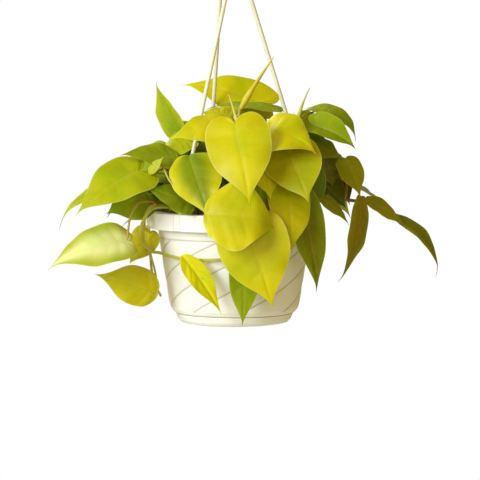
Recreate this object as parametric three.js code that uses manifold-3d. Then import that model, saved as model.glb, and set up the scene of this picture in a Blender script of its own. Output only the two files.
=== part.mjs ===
// Heart-leaf philodendron in a plastic hanging basket: pot, clip-on saucer, potting mix,
// three-strand hanger with its hook, eight vines and their leaves.
// Millimetres, +Z up, the plant's front towards -Y. The origin is the seat of the hook, the
// inside of its top, where the basket hangs.
import * as THREE from 'three';
import { mergeVertices } from 'three/addons/utils/BufferGeometryUtils.js';
import Module from 'manifold-3d';

const wasm = await Module();
wasm.setup();

// Pot, measured from the underside of the saucer
const potHeight = 101;
const rimRadius = 79;
const rimBand = 15;
const potWall = 1.8;
const lipThickness = 2;
const potFloor = 9;
const mixTop = 88;
const roundSegments = 32;

// Saucer
const saucerHeight = 8.3;
const saucerRadius = 52;
const saucerWall = 1.6;
const clipCircle = 26;
const clipCount = 3;

// Hanger
const anchorCircle = 73.5;
const anchorTurns = [-40, 80, 200];   // degrees to the right of the front
const hubTurns = [30, 150, 270];
const hubCircle = 7.5;
const hubRadius = 12;
const hubThickness = 3.5;
const hubHeight = 336;
const hubShift = -2.5;                // the hub stands a little left of the pot's axis
const strandRadius = 1.8;
const strandHole = 2.3;
const strandHead = 3.1;
const strandHeadHeight = 2.5;
const hookWire = 2.75;
const hookBend = 15;
const shankLength = 12;

// Plant
const stemRadius = 1.8;
const petioleRadius = 0.95;
const bladeThickness = 1;
const bladeRows = 8;
const bladeColumns = 2;
const flatArch = 0.03;
const gap = 0.35;                     // between pieces that rest on each other

const seatHeight = hubHeight + hubThickness + shankLength + 2 * hookBend - hookWire;

const plastic = { color: 0xe9e6da, roughness: 0.45, metalness: 0 };
const hangerPlastic = { color: 0xe4e0cf, roughness: 0.4, metalness: 0 };
const mixLook = { color: 0x3b2a1c, roughness: 1, metalness: 0 };
const stemLook = { color: 0xa3a52f, roughness: 0.5, metalness: 0 };
const leafLook = { color: 0xb9c41c, roughness: 0.45, metalness: 0 };

const root = new THREE.Group();
const basket = new THREE.Group();
basket.position.set(-hubShift, 0, -seatHeight);
root.add(basket);

// Merges a closed geometry's corners and makes a solid of it
function toSolid(geometry) {
  const bare = geometry.clone();
  bare.deleteAttribute('normal');
  bare.deleteAttribute('uv');
  const merged = mergeVertices(bare, 1e-4);
  const corners = merged.index.array;
  const triVerts = [];
  for (let i = 0; i < corners.length; i += 3) {
    const [a, b, c] = corners.slice(i, i + 3);
    if (a !== b && b !== c && c !== a) triVerts.push(a, b, c);
  }
  return new wasm.Manifold(new wasm.Mesh({
    numProp: 3,
    vertProperties: new Float32Array(merged.attributes.position.array),
    triVerts: new Uint32Array(triVerts),
  }));
}

function toGeometry(solid) {
  const mesh = solid.getMesh();
  const geometry = new THREE.BufferGeometry();
  geometry.setAttribute('position', new THREE.BufferAttribute(mesh.vertProperties, 3));
  geometry.setIndex(new THREE.BufferAttribute(mesh.triVerts, 1));
  geometry.computeVertexNormals();
  return geometry;
}

function addPiece(name, geometry, look, parent = basket) {
  const mesh = new THREE.Mesh(geometry, new THREE.MeshStandardMaterial(look));
  mesh.name = name;
  parent.add(mesh);
  return mesh;
}

const radians = (degrees) => (degrees * Math.PI) / 180;

// A point on a circle about the pot's axis, its turn counted to the right of the front
function around(circle, degrees, z) {
  const turn = radians(degrees);
  return new THREE.Vector3(circle * Math.sin(turn), -circle * Math.cos(turn), z);
}

const vector = (place) => new THREE.Vector3(...place);

// A lathe about Z from [radius, height] pairs
function turned(profile, segments = roundSegments) {
  const points = profile.map(([radius, height]) => new THREE.Vector2(radius, height));
  return new THREE.LatheGeometry(points, segments).rotateX(Math.PI / 2);
}

// A closed cylinder standing on the given place
function post(radius, height, place, segments = 10) {
  const cylinder = new THREE.CylinderGeometry(radius, radius, height, segments);
  cylinder.rotateX(Math.PI / 2).translate(place.x, place.y, place.z + height / 2);
  return toSolid(cylinder);
}

// A rod of even thickness along a curve
function rod(curve, radius, steps, sides) {
  const corners = Array.from({ length: sides }, (_, i) => {
    const turn = (2 * Math.PI * i) / sides;
    return new THREE.Vector2(radius * Math.cos(turn), radius * Math.sin(turn));
  });
  const section = new THREE.Shape(corners);
  return new THREE.ExtrudeGeometry(section, { steps, extrudePath: curve, bevelEnabled: false });
}

// Pot: rounded foot, flared wall, flat lip and a deep rim band that hangs from it
function makePot() {
  const lipUnder = potHeight - lipThickness;
  const bandFoot = potHeight - rimBand;
  const bandInside = rimRadius - potWall;
  let solid = toSolid(turned([
    [0, potFloor], [50, potFloor], [54.5, 10.6], [57.2, 14.5], [58.6, 20],
    [68.8, 84], [69.8, lipUnder], [bandInside, lipUnder], [bandInside, bandFoot],
    [rimRadius, bandFoot], [rimRadius, potHeight - 1], [rimRadius - 1, potHeight],
    [69, potHeight], [68, potHeight - 1], [67, 84], [56.8, 20], [55, 14.8],
    [52, 11.6], [49, potFloor + lipThickness], [0, potFloor + lipThickness],
  ]));
  for (const turn of anchorTurns) {
    solid = solid.subtract(post(strandHole, 2 * lipThickness, around(anchorCircle, turn, lipUnder - 1)));
    const rib = new THREE.BoxGeometry(7, 2.4, rimBand - 1);
    rib.rotateZ(radians(turn)).translate(...around(rimRadius - 0.6, turn, potHeight - 0.5 - rimBand / 2));
    solid = solid.add(toSolid(rib));
  }
  for (let i = 0; i < clipCount; i += 1) {
    const turn = (360 * i) / clipCount;
    solid = solid.subtract(post(3.3, 4, around(clipCircle, turn, potFloor - 1)));
    solid = solid.subtract(post(3.5, 4, around(clipCircle + 14, turn + 60, potFloor - 1)));
  }
  addPiece('pot', toGeometry(solid), plastic);
}

// Saucer with three barbed clips that pass through the pot's floor
function makeSaucer() {
  let solid = toSolid(turned([
    [0, 0], [44, 0], [47.6, 1], [50, 3.6], [saucerRadius, saucerHeight],
    [saucerRadius - saucerWall, saucerHeight], [48.6, 4.4], [46.6, 2.4], [44, saucerWall],
    [0, saucerWall],
  ]));
  const barbFoot = potFloor + lipThickness + gap;
  for (let i = 0; i < clipCount; i += 1) {
    const place = around(clipCircle, (360 * i) / clipCount, 0);
    solid = solid.add(post(2.4, barbFoot + 0.5 - 1, place.clone().setZ(1)));
    const barb = turned([[0, barbFoot], [3.9, barbFoot], [3.9, barbFoot + 0.8], [1.6, barbFoot + 4],
      [0, barbFoot + 4]], 12);
    solid = solid.add(toSolid(barb.translate(place.x, place.y, 0)));
  }
  addPiece('drip_saucer', toGeometry(solid), plastic);
}

// Potting mix, filling the pot up to its headspace
function makePottingMix() {
  const foot = potFloor + lipThickness + gap;
  let solid = toSolid(turned([
    [0, foot], [48.8, foot], [51.6, 12.2], [54.5, 15], [56.4, 20.2],
    [66.4, 83], [66.8, mixTop - 1.5], [64, mixTop], [30, mixTop + 1], [0, mixTop + 1],
  ]));
  for (let i = 0; i < clipCount; i += 1) {
    solid = solid.subtract(post(4.6, 5.5, around(clipCircle, (360 * i) / clipCount, foot - 1)));
  }
  addPiece('potting_mix', toGeometry(solid), mixLook);
}

// Hook: a round hub plate, a short shank and an open bend
function makeHook() {
  const hub = new THREE.Vector3(hubShift, 0, hubHeight);
  let solid = post(hubRadius, hubThickness, hub, 24);
  for (const turn of hubTurns) {
    const hole = around(hubCircle, turn, hubHeight - 1).add(new THREE.Vector3(hubShift, 0, 0));
    solid = solid.subtract(post(strandHole, hubThickness + 2, hole));
  }
  const shankFoot = hubHeight + 1;
  const bendFoot = hubHeight + hubThickness + shankLength;
  const centre = bendFoot + hookBend;
  const bend = [];
  for (let turn = -75; turn <= 205; turn += 20) {
    bend.push(new THREE.Vector3(hubShift + hookBend * Math.cos(radians(turn)), 0,
      centre + hookBend * Math.sin(radians(turn))));
  }
  const wire = new THREE.CatmullRomCurve3([
    new THREE.Vector3(hubShift, 0, shankFoot), new THREE.Vector3(hubShift, 0, bendFoot - 6), ...bend,
  ]);
  solid = solid.add(toSolid(rod(wire, hookWire, 24, 8)));
  addPiece('hanger_hook', toGeometry(solid), hangerPlastic);
}

// Strands: straight rods with an upright foot through the rim's lip and an upright top through
// the hub plate, a head under the lip and another above the plate
function makeStrands() {
  anchorTurns.forEach((turn, i) => {
    const foot = around(anchorCircle, turn, potHeight - lipThickness - gap - strandHeadHeight);
    const top = around(hubCircle, hubTurns[i], hubHeight + hubThickness + gap);
    top.x += hubShift;
    const lipPoint = foot.clone().setZ(potHeight + 2);
    const hubPoint = top.clone().setZ(hubHeight - 2);
    let solid = toSolid(rod(new THREE.LineCurve3(lipPoint, hubPoint), strandRadius, 1, 8));
    for (const joint of [lipPoint, hubPoint]) {
      const ball = new THREE.IcosahedronGeometry(strandRadius * 1.05, 1);
      solid = solid.add(toSolid(ball.translate(joint.x, joint.y, joint.z)));
    }
    solid = solid.add(post(strandRadius, lipPoint.z - foot.z, foot, 8));
    solid = solid.add(post(strandRadius, top.z + 1 - hubPoint.z, hubPoint, 8));
    solid = solid.add(post(strandHead, strandHeadHeight, foot));
    solid = solid.add(post(strandHead, strandHeadHeight, top));
    addPiece(`hanger_strand_${i + 1}`, toGeometry(solid), hangerPlastic);
  });
}

// One side of a heart-shaped blade: base at 0,0, tip at 0,1, widest at about x = halfWide
const halfWide = 0.446;
const halfOutline = new THREE.Path();
halfOutline.moveTo(0, 0);
halfOutline.bezierCurveTo(0.06, -0.24, 0.46, -0.2, 0.44, 0.2);
halfOutline.bezierCurveTo(0.44, 0.64, 0.03, 0.74, 0, 1);

// A blade on its own axes: X across, Y from base to tip, Z the way it faces. The midrib arches
// by arch and turns up or down past 0.7 of its length by tipBend, each a share of the length.
// The halves fold by an angle and cup with the square of the distance across, blunt widens the
// outline towards the tip, and notch is the depth of the base's notch: 0 leaves a rounded wedge.
function bladePoint(length, width, shape, row, column, side, skin) {
  const { arch = flatArch, tipBend = 0, fold = 0, cup = 0, blunt = 0, notch = 1 } = shape;
  const t = row / bladeRows;
  const share = column / bladeColumns;
  const edge = halfOutline.getPoint(t);
  edge.x += blunt * 4 * Math.max(0, edge.y) ** 2 * (1 - edge.y);
  const wedge = 0.22 * (1 - notch) * (edge.x / halfWide) ** 2 * (1 - Math.max(0, edge.y));
  edge.y = wedge + (edge.y < 0 ? notch * edge.y : edge.y);
  const across = (side * share * edge.x * width) / (2 * halfWide);
  const b = THREE.MathUtils.lerp(t ** 2.2, edge.y, share);
  const past = Math.max(0, (b - 0.7) / 0.3);
  const middle = new THREE.Vector3(0, b, arch * 4 * b * (1 - b) + tipBend * past * past)
    .multiplyScalar(length);
  const slope = arch * 4 * (1 - 2 * b) + (tipBend * 2 * past) / 0.3;
  const up = new THREE.Vector3(0, -slope, 1).normalize();
  const lift = Math.abs(across) * Math.sin(radians(fold)) + (cup * across * across * 2) / width;
  const half = (skin * bladeThickness * (1 - share * share)) / 2;
  middle.x += across * Math.cos(radians(fold));
  return middle.addScaledVector(up, lift + half);
}

function bladeGeometry(length, width, shape) {
  const corners = [];
  const quad = (a, b, c, d) => corners.push(a, b, c, a, c, d);
  for (const side of [-1, 1]) {
    for (const skin of [-1, 1]) {
      for (let row = 0; row < bladeRows; row += 1) {
        for (let column = 0; column < bladeColumns; column += 1) {
          const at = (r, c) => {
            const end = r === 0 || r === bladeRows;
            return bladePoint(length, width, shape, r, end ? bladeColumns : c, side, skin);
          };
          const ring = [at(row, column), at(row, column + 1), at(row + 1, column + 1), at(row + 1, column)];
          if (side * skin < 0) [ring[1], ring[3]] = [ring[3], ring[1]];
          quad(...ring);
        }
      }
    }
  }
  return toGeometry(toSolid(new THREE.BufferGeometry().setFromPoints(corners)));
}

const vines = new Map();
let leafCount = 0;

function vine(name, route, spikes = [], radius = stemRadius) {
  const stem = new THREE.CatmullRomCurve3(route.map(vector), false, 'centripetal');
  const steps = Math.round(stem.getLength() / 9);
  const parts = [toSolid(rod(stem, radius, steps, 7))];
  vines.set(name, { stem, parts });
  for (const spike of spikes) addSpike(name, ...spike);
}

// A rolled young leaf: a slim spindle on the vine
function addSpike(name, base, tip, radius) {
  const start = vector(base);
  const reach = vector(tip).sub(start);
  const length = reach.length();
  const spindle = new THREE.LatheGeometry([[0, 0], [0.6, 0.01], [1, 0.3], [0.72, 0.65], [0, 1]].map(
    ([r, h]) => new THREE.Vector2(r * radius, h * length)), 7);
  const turn = new THREE.Quaternion().setFromUnitVectors(new THREE.Vector3(0, 1, 0), reach.normalize());
  spindle.applyQuaternion(turn).translate(start.x, start.y, start.z);
  vines.get(name).parts.push(toSolid(spindle));
}

// A leaf: the vine it grows on, where its petiole leaves the stem (0 to 1), the blade's base and
// tip, the way it faces and its width. via lists points that the petiole passes on its way.
function leaf(vineName, at, baseAt, tipAt, face, width, shape = {}) {
  const { stem, parts } = vines.get(vineName);
  const base = vector(baseAt);
  const along = vector(tipAt).sub(base);
  const length = along.length();
  along.normalize();
  const up = vector(face).addScaledVector(along, -vector(face).dot(along)).normalize();
  const across = new THREE.Vector3().crossVectors(along, up);

  leafCount += 1;
  const name = `leaf_${String(leafCount).padStart(2, '0')}`;
  const blade = addPiece(name, bladeGeometry(length, width, shape), leafLook);
  blade.position.copy(base);
  blade.quaternion.setFromRotationMatrix(new THREE.Matrix4().makeBasis(across, along, up));

  const slope = 4 * (shape.arch ?? flatArch);
  const baseAlong = along.clone().addScaledVector(up, slope).normalize();
  const baseUp = up.clone().addScaledVector(along, -slope).normalize();
  const side = shape.onTop ? 1 : -1;
  const start = stem.getPointAt(at);
  const end = base.clone().addScaledVector(baseUp, side * (petioleRadius + 0.5));
  end.addScaledVector(baseAlong, -0.6);
  const distance = start.distanceTo(end);
  const arrive = end.clone().addScaledVector(baseUp, -0.3 * distance);
  arrive.addScaledVector(baseAlong, -0.2 * distance);
  const leave = start.clone().addScaledVector(stem.getTangentAt(at), 0.35 * distance);
  const route = shape.via
    ? new THREE.CatmullRomCurve3([start, ...shape.via.map(vector), end], false, 'centripetal')
    : new THREE.CubicBezierCurve3(start, leave, arrive, end);
  const steps = Math.max(4, Math.round(route.getLength() / 11));
  parts.push(toSolid(rod(route, petioleRadius, steps, 5)));
}

function finishVines() {
  for (const [name, { parts }] of vines) {
    const solid = parts.reduce((whole, part) => whole.add(part));
    addPiece(`vine_${name}`, toGeometry(solid), stemLook);
  }
}

makePot();
makeSaucer();
makePottingMix();
makeHook();
makeStrands();

const rootZ = mixTop + 2.2;
vine('centre', [[0, -10, rootZ], [2, -22, 120], [3, -30, 150], [4, -34, 178], [5, -34, 196]],
  [[[5, -34, 192], [35, -30, 239], 3], [[4, -44, 176], [-5, -46, 206], 2.2]]);
vine('left_crown', [[-30, -15, rootZ], [-38, -18, 110], [-50, -20, 125], [-58, -24, 138]]);
vine('right_crown', [[30, -15, rootZ], [40, -20, 120], [50, -25, 150], [55, -30, 180]],
  [[[55, -30, 178], [67, -32, 212], 2.2], [[53, -29.5, 171], [53, -31, 190], 1.3]]);
vine('left_trail', [[-40, -22, rootZ], [-44, -26, 100], [-58, -36, 107], [-74, -40, 106],
  [-80, -39, 92], [-80, -37, 75], [-75, -34, 64], [-74, -28, 52], [-72, -22, 38], [-66, -8, 24]], [],
  1.4);
vine('front_trail', [[-46, -36, rootZ], [-49, -40, 101], [-60, -48, 107], [-73, -50, 105],
  [-82, -46, 90], [-82, -42, 80], [-75, -40, 68], [-66, -32, 65], [-49, -52, 62], [-31, -62, 61],
  [-13, -69.5, 62], [4, -71, 62]], [], 1.6);
vine('right_trail', [[45, 0, rootZ], [62, -5, 108], [90, -15, 112], [108, -12, 110], [118, -5, 108]]);
vine('back_left', [[-20, 30, rootZ], [-25, 38, 120], [-30, 42, 150], [-32, 45, 175]]);
vine('back_right', [[20, 30, rootZ], [26, 38, 120], [30, 42, 150], [28, 42, 178]]);

// Front and crown
leaf('centre', 0.8, [1, -85, 181], [14, -106, 112], [0, -1, 0.25], 58, { arch: 0.05, cup: -0.1 });
leaf('back_right', 1, [27, 52, 196], [-49, 64, 213], [0, -0.75, 0.66], 44, { arch: 0.06 });
leaf('back_right', 0.9, [35, 22, 192], [-26, 30, 192], [0, -0.15, 0.98], 36, { arch: 0.05,
  via: [[40, 38, 180], [46, 26, 184], [44, 20, 190]] });
leaf('centre', 0.9, [-2, -14, 186], [-31, -8, 189], [-0.1, -0.45, 0.9], 34);
leaf('centre', 0.85, [-5, -62, 177], [-57, -72, 168], [-0.1, -0.62, 0.78], 44, { arch: 0.08 });
leaf('back_left', 0.5, [-47, 0, 166], [-69, -6, 217], [-0.7, -0.7, 0.1], 30, { fold: 16, notch: 0.4 });
leaf('left_crown', 0.9, [-83, -62, 140], [-138, -88, 103], [-0.25, -0.8, 0.55], 50, { arch: 0.08 });
leaf('left_crown', 0.8, [-97, -46, 137], [-158, -66, 98], [-0.2, -0.7, 0.7], 16, { tipBend: -0.2 });
leaf('left_crown', 1, [-49, -42, 149], [-101, -62, 154], [0, -0.55, 0.83], 38, { arch: 0.04,
  notch: 0.5 });
leaf('left_crown', 0.7, [-40, -21, 166], [-68, -29, 150], [-0.2, -0.6, 0.77], 30);
leaf('left_crown', 0.5, [-47, -42.5, 136.5], [-63, -50.5, 114], [-0.1, -0.8, 0.4], 22);
leaf('left_crown', 0.45, [-77, -25, 118], [-114, -37, 100], [-0.2, -0.95, 0.25], 43, { notch: 0.4 });
leaf('left_crown', 0.72, [-37, -67, 110], [-79, -76, 126], [-0.1, -0.55, 0.82], 38, { notch: 0.4,
  onTop: true, via: [[-66, -56, 148], [-61, -64, 140], [-56, -71, 131], [-44, -73, 119]] });
leaf('centre', 0.5, [-39.5, -58, 153], [-20, -87, 96], [-0.15, -0.8, 0.5], 46, { arch: 0.1,
  notch: 0.25 });
leaf('centre', 0.15, [-26, -93, 104], [35, -94, 97], [0.1, -0.9, 0.42], 49, { arch: 0.1, tipBend: -0.18,
  blunt: 0.4, notch: 0.15, via: [[-7, -60, 108], [-6, -82, 106], [-15, -90.5, 104.5]] });
leaf('centre', 0.1, [12, -85, 92], [34, -90, 21], [0.1, -1, 0.1], 64, { arch: 0.05, via: [[5, -60, 108],
  [9, -76, 106], [11, -82, 101]] });
leaf('front_trail', 1, [9, -74, 60], [7, -73, 3], [0.15, -1, 0.05], 28, { arch: 0.04 });
leaf('front_trail', 0.78, [-46, -68, 66], [-10, -73, 13], [0.35, -0.88, 0.3], 22, { arch: 0.06,
  fold: 10, notch: 0 });
leaf('right_crown', 0.85, [28, -60, 175], [72, -73, 155], [0.2, -0.65, 0.72], 56, { arch: 0.14 });
leaf('right_crown', 0.7, [47, -62, 158], [65, -90, 113], [0.1, -1, 0], 52, { arch: 0.05 });
leaf('centre', 0.35, [24, -50, 158], [32, -84, 115], [0.1, -1, 0.1], 40);
leaf('right_crown', 0.45, [47, -63, 126], [50, -83, 68], [0.4, -0.9, 0.05], 42, { arch: 0.03 });
leaf('right_crown', 0.2, [60, -57, 112], [73, -68, 32], [0.5, -0.87, 0.05], 36, { arch: 0.04 });
leaf('right_trail', 0.92, [113, -31, 115], [93, -44, 39], [0.78, -0.62, 0.1], 26, { arch: 0.08,
  notch: 0.2 });
leaf('right_trail', 0.96, [118, -9, 112], [155, -7, 84.5], [0.4, -0.55, 0.75], 22, { arch: 0.06,
  notch: 0.2 });
leaf('right_trail', 1, [140.5, 8.5, 97], [185, 4.5, 42], [0.5, -0.5, 0.7], 21, { arch: 0.18,
  notch: 0.1 });
leaf('right_trail', 0.7, [99, -26, 149], [112, -38, 114], [0.5, -0.85, 0.1], 27, { notch: 0.4 });
leaf('right_trail', 0.45, [82, -8, 149], [88, -16, 122], [0.2, -0.9, 0.3], 30);
leaf('right_crown', 0.8, [73, -22, 160], [96, -26, 149], [0.1, -0.7, 0.7], 24);
leaf('right_crown', 1, [71, -14, 193], [109, -18, 164], [0.35, -0.35, 0.87], 34, { arch: 0.22 });
leaf('right_crown', 0.95, [70, -37.5, 178.5], [108, -43.5, 157.5], [0.1, -0.7, 0.7], 32, { arch: 0.1,
  fold: 20 });
leaf('back_right', 0.9, [57, 14, 184], [70, 8, 158], [0.1, -0.9, 0.4], 30);
leaf('right_trail', 0.5, [75, -36, 117], [102, -50, 91], [0.55, -0.5, 0.7], 21, { notch: 0.3 });
leaf('left_trail', 0.3, [-93, -62, 78], [-164, -72, 54], [-0.2, -0.75, 0.62], 46, { arch: 0.12,
  notch: 0.6, onTop: true, via: [[-71, -47, 111], [-83, -54, 111], [-91, -59, 99]] });
leaf('left_trail', 0.62, [-68, -40, 31], [-124, -50, 48], [0.1, -0.95, 0.2], 36, { notch: 0.15 });
leaf('left_trail', 0.45, [-75, -27, 84], [-94, -28, 54], [-0.2, -0.97, 0.1], 27, { notch: 0.6,
  onTop: true });

// Back
leaf('back_left', 0.6, [-52, 50, 132], [-92, 86, 96], [-0.4, 0.7, 0.6], 50, { arch: 0.08 });
leaf('back_left', 0.8, [2, 70, 146], [-2, 116, 104], [-0.1, 0.75, 0.65], 48, { arch: 0.08 });
leaf('back_right', 0.6, [44, 60, 134], [58, 108, 94], [0.15, 0.75, 0.65], 48, { arch: 0.08 });
leaf('back_right', 0.5, [64, 34, 126], [108, 62, 90], [0.5, 0.6, 0.6], 48, { arch: 0.08 });
leaf('back_left', 0.4, [-65, 20, 122], [-118, 40, 92], [-0.6, 0.4, 0.7], 50, { arch: 0.08 });
leaf('back_left', 1, [-34, 56, 178], [-62, 96, 158], [-0.3, 0.6, 0.75], 46, { arch: 0.1 });
leaf('back_right', 0.95, [12, 62, 172], [16, 104, 148], [0, 0.6, 0.8], 46, { arch: 0.1 });
leaf('back_left', 0.1, [-15, 84, 105], [-22, 94, 35], [-0.1, 1, 0.1], 52, { arch: 0.05 });
leaf('back_right', 0.1, [35, 78, 106], [46, 88, 42], [0.3, 0.95, 0.1], 48, { arch: 0.05 });

finishVines();

export default root;
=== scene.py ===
from math import acos, atan2, cos, pi, radians, sin

import bpy
import numpy as np
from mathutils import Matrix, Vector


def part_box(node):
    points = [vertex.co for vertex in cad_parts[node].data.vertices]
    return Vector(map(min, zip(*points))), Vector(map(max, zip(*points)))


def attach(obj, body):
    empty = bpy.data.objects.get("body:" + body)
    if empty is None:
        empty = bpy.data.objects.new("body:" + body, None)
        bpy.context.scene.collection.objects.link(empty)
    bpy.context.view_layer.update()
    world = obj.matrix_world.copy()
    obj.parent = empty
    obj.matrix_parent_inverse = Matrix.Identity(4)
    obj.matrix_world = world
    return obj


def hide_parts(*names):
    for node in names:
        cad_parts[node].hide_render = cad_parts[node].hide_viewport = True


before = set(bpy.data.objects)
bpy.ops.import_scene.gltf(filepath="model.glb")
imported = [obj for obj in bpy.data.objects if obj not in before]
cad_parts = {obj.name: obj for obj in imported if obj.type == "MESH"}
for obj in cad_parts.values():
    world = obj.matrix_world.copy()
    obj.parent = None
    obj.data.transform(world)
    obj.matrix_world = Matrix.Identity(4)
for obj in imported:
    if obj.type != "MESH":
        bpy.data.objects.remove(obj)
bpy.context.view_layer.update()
print("frame loaded,", len(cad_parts), "nodes")

# Places are in millimetres from the saucer's underside on the pot's axis, z up, front towards -y
mm = 0.001
saucerLow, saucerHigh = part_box("drip_saucer")
foot = np.array([(saucerLow.x + saucerHigh.x) / 2, (saucerLow.y + saucerHigh.y) / 2, saucerLow.z])


def placed(points):
    return foot + np.asarray(points, float) * mm


view = dict(place=(5, -2500, 269), aim=(5, 0, 74), lens=208.97, sensor=36)


def makeCamera():
    data = bpy.data.cameras.new("camera")
    data.lens = view["lens"]
    data.sensor_width = view["sensor"]
    data.clip_end = 50
    camera = bpy.data.objects.new("camera", data)
    bpy.context.scene.collection.objects.link(camera)
    place, aim = placed(view["place"]), placed(view["aim"])
    camera.location = place
    down = atan2(place[2] - aim[2], aim[1] - place[1])
    camera.rotation_euler = (pi / 2 - down, 0, 0)
    bpy.context.scene.camera = camera


makeCamera()
print("camera made")


def unit(vectors):
    return vectors / np.linalg.norm(vectors, axis=-1, keepdims=True)


def circle(sides):
    return np.linspace(0, 2 * pi, sides, endpoint=False)


# A bell of height 1 about 0, down to about a third at width
def hump(x, width):
    return np.exp(-((x / width) ** 2))


# 0 below low, 1 above high, and an even S between them
def smooth(x, low, high):
    s = np.clip((x - low) / (high - low), 0, 1)
    return s * s * (3 - 2 * s)


# A cubic Bezier curve from a to d, which leaves towards b and arrives from c
def bezier(a, b, c, d, count):
    t = np.linspace(0, 1, count)[:, None]
    a, b, c, d = (np.asarray(p, float) for p in (a, b, c, d))
    return (1 - t) ** 3 * a + 3 * (1 - t) ** 2 * t * b + 3 * (1 - t) * t * t * c + t ** 3 * d


# A curve through the points: cubics whose end slopes come from the neighbouring points
def smoothRoute(points, perSpan=40):
    p = np.asarray(points, float)
    p = np.vstack([2 * p[0] - p[1], p, 2 * p[-1] - p[-2]])
    gap = np.sqrt(np.linalg.norm(np.diff(p, axis=0), axis=1))[:, None]
    slope = np.diff(p, axis=0) / gap
    middle = slope[:-1] - (p[2:] - p[:-2]) / (gap[:-1] + gap[1:]) + slope[1:]
    leave, arrive = (middle[:-1] * gap[1:-1])[:, None], (middle[1:] * gap[1:-1])[:, None]
    t = np.linspace(0, 1, perSpan, endpoint=False)[None, :, None]
    start, end = p[1:-2, None], p[2:-1, None]
    curve = ((2 * t ** 3 - 3 * t ** 2 + 1) * start + (t ** 3 - 2 * t ** 2 + t) * leave
             + (3 * t ** 2 - 2 * t ** 3) * end + (t ** 3 - t ** 2) * arrive)
    return np.vstack([curve.reshape(-1, 3), p[-2]])


# Distance along a route at each of its points
def runLength(route):
    return np.concatenate([[0], np.cumsum(np.linalg.norm(np.diff(route, axis=0), axis=1))])


def pointsAt(route, distance):
    run = runLength(route)
    return np.stack([np.interp(distance, run, values) for values in route.T], axis=-1)


# Two directions square to each tangent, turned from the axis that lies furthest from all
def crossFrames(tangents):
    tries = np.array([(1, 0, 0), (0, 1, 0), (0, 0, 1), (0.6, 0.8, 0), (0.6, 0, 0.8), (0, 0.6, 0.8),
                      (-0.6, 0.8, 0), (-0.6, 0, 0.8), (0, -0.6, 0.8)], float)
    reference = tries[np.abs(tangents @ tries.T).max(axis=0).argmin()]
    side = unit(np.cross(tangents, reference))
    return side, np.cross(side, tangents)


# A closed skin through rings of points, of which the first and last shrink to one point
def loft(rings, marks, hue):
    rows, sides = rings.shape[:2]
    marks = np.broadcast_to(marks, (rows, sides, 3))
    hue = np.broadcast_to(hue, (rows, sides, 3))

    def poled(values):
        inner = values[1:-1].reshape(-1, 3)
        return np.vstack([values[0].mean(axis=0), inner, values[-1].mean(axis=0)])

    points = poled(rings)
    ring = np.arange(rows - 2)[:, None] * sides + 1
    here = np.arange(sides)[None, :]
    after = (here + 1) % sides
    low, high = ring[:-1], ring[1:]
    quads = np.stack([low + here, low + after, high + after, high + here], axis=-1).reshape(-1, 4)
    first = np.stack([np.zeros(sides, int), 1 + after[0], 1 + here[0]], axis=-1)
    top, last = ring[-1, 0], len(points) - 1
    final = np.stack([np.full(sides, last), top + here[0], top + after[0]], axis=-1)
    corners = np.vstack([quads[:, [0, 1, 2]], quads[:, [0, 2, 3]], first, final])
    a, b, c = (points[corners[:, i]] for i in range(3))
    volume = np.einsum("ij,ij->i", a, np.cross(b, c)).sum()
    if volume < 0:
        quads, first, final = quads[:, ::-1], first[:, ::-1], final[:, ::-1]
    return dict(points=points, faces=[quads, first, final], marks=poled(marks), hue=poled(hue))


# A round rod along a route with rounded ends. radius is a number or a function of the distance
def tube(route, radius, hue, sides=12, spacing=1.5):
    total = runLength(route)[-1]
    thick = radius if callable(radius) else (lambda s: np.full_like(s, radius))
    bend = np.linspace(0, pi / 2, 5)
    capStart, capEnd = thick(np.array([0, total], float))
    body = np.linspace(capStart, total - capEnd, max(3, int(total / spacing)))
    s = np.concatenate([capStart * (1 - np.cos(bend[:-1])), body,
                        total - capEnd * (1 - np.cos(bend[:-1][::-1]))])
    close = np.concatenate([np.sin(bend[:-1]), np.ones(len(body)), np.sin(bend[:-1][::-1])])
    centre = pointsAt(route, s)
    tangent = unit(pointsAt(route, s + 0.4) - pointsAt(route, s - 0.4))
    side, up = crossFrames(tangent)
    turn = circle(sides)
    spokes = np.cos(turn)[None, :, None] * side[:, None] + np.sin(turn)[None, :, None] * up[:, None]
    rings = centre[:, None] + spokes * (thick(s) * close)[:, None, None]
    marks = np.stack(np.broadcast_arrays(turn[None] / (2 * pi), s[:, None] / total, 0.0), axis=-1)
    return loft(rings, marks, hue(s / total)[:, None] if callable(hue) else hue)


# A lathe: each [radius, height] point goes round the axis. relief gives how far the skin moves
# outwards there, and a mark for the material
def turned(profile, sides, relief=None, centre=(0, 0)):
    r, z = np.asarray(profile, float).T
    turn = circle(sides)[None]
    r, z = r[:, None], z[:, None]
    out, mark = relief(turn, z, r) if relief else (0 * r * turn, 0 * r * turn)
    r = np.broadcast_to(r, out.shape) + out
    z = np.broadcast_to(z, out.shape)
    rings = np.stack([centre[0] + r * np.sin(turn), centre[1] - r * np.cos(turn), z], axis=-1)
    marks = np.stack(np.broadcast_arrays(turn / (2 * pi), z, mark), axis=-1)
    return loft(rings, marks, (0, 0, 0))


# The profile with each inner corner replaced by a curve that starts up to radius away from it
def rounded(profile, radius, steps=5):
    p = np.asarray(profile, float)
    before, corner, after = p[:-2], p[1:-1], p[2:]
    back, on = before - corner, after - corner
    backLength = np.linalg.norm(back, axis=1, keepdims=True)
    onLength = np.linalg.norm(on, axis=1, keepdims=True)
    cut = np.minimum(radius, 0.45 * np.minimum(backLength, onLength))
    start, end = corner + back / backLength * cut, corner + on / onLength * cut
    t = np.linspace(0, 1, steps)[None, :, None]
    curve = (1 - t) ** 2 * start[:, None] + 2 * (1 - t) * t * corner[:, None] + t * t * end[:, None]
    return np.vstack([p[:1], curve.reshape(-1, 2), p[-1:]])


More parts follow.
